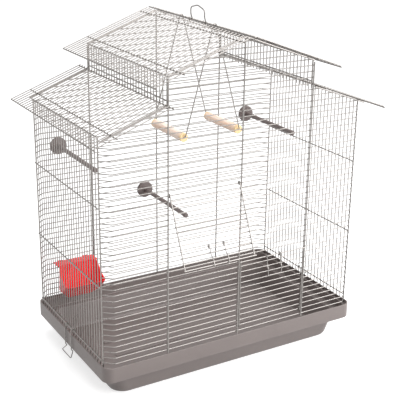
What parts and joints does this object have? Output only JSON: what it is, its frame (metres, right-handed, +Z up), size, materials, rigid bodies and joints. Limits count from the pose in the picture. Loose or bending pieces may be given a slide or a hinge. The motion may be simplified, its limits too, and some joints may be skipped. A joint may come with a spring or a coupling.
{
  "type": "bird cage",
  "caption": "Wire bird cage with a raised gabled middle bay, overhanging wire roofs, hinged wire doors, perches, a double swing, a scoop feeder and a clip-on plastic tray",
  "frame": {"origin": "centre of the tray's flat underside", "axes": "+X to the viewer's right, -Y to the front with the two doors, +Z up"},
  "size_m": [0.6506, 0.4524, 0.7319],
  "materials": {
    "wire": "bright zinc-plated wire",
    "tray_plastic": "satin moulded plastic, warm grey",
    "feeder_plastic": "glossy moulded plastic, red",
    "perch_plastic": "satin moulded plastic, dark brown grey",
    "wood": "bare pale turned wood"
  },
  "bodies": {
    "cage": {"tray": "tray_plastic", "front_panel": "wire", "back_panel": "wire", "left_side_panel": "wire", "right_side_panel": "wire", "tower_left_panel": "wire", "tower_right_panel": "wire", "roof_low_left": "wire", "roof_low_right": "wire", "roof_upper_left": "wire", "roof_upper_right": "wire", "ridge_rail": "wire", "perch_left": "perch_plastic", "perch_middle": "perch_plastic", "perch_right": "perch_plastic", "perch_nut_left": "perch_plastic", "perch_nut_middle": "perch_plastic", "perch_nut_right": "perch_plastic", "feeder": "feeder_plastic"},
    "left_door": {"left_door": "wire"},
    "left_latch": {"left_latch": "wire"},
    "right_door": {"right_door": "wire"},
    "right_latch": {"right_latch": "wire"},
    "swing": {"swing_hanger_front": "wire", "swing_hanger_back": "wire", "swing_dowel_left": "wood", "swing_dowel_right": "wood"},
    "handle": {"carry_handle": "wire"},
    "left_clip": {"left_clip": "wire"},
    "right_clip": {"right_clip": "wire"}
  },
  "joints": [
    {"name": "left_door_hinge", "type": "hinge", "parent": "cage", "child": "left_door", "pos_m": [-0.08125, -0.1735, 0.411], "axis": [-1, 0, 0], "range_deg": [-24, 90]},
    {"name": "left_latch_hinge", "type": "hinge", "parent": "left_door", "child": "left_latch", "pos_m": [-0.08125, -0.21858, 0.31286], "axis": [-1, 0, 0], "range_deg": [0, 90]},
    {"name": "right_door_hinge", "type": "hinge", "parent": "cage", "child": "right_door", "pos_m": [0.08125, -0.1735, 0.099], "axis": [1, 0, 0], "range_deg": [0, 110]},
    {"name": "right_latch_hinge", "type": "hinge", "parent": "right_door", "child": "right_latch", "pos_m": [0.08125, -0.179, 0.243], "axis": [-1, 0, 0], "range_deg": [0, 90]},
    {"name": "swing_hinge", "type": "hinge", "parent": "cage", "child": "swing", "pos_m": [0, 0, 0.69957], "axis": [0, 1, 0], "range_deg": [-30, 30]},
    {"name": "handle_hinge", "type": "hinge", "parent": "cage", "child": "handle", "pos_m": [0, 0, 0.69957], "axis": [0, 1, 0], "range_deg": [-90, 90]},
    {"name": "left_clip_hinge", "type": "hinge", "parent": "cage", "child": "left_clip", "pos_m": [-0.29725, 0, 0.092], "axis": [0, 1, 0], "range_deg": [0, 110]},
    {"name": "right_clip_hinge", "type": "hinge", "parent": "cage", "child": "right_clip", "pos_m": [0.29725, 0, 0.092], "axis": [0, -1, 0], "range_deg": [0, 110]}
  ]
}
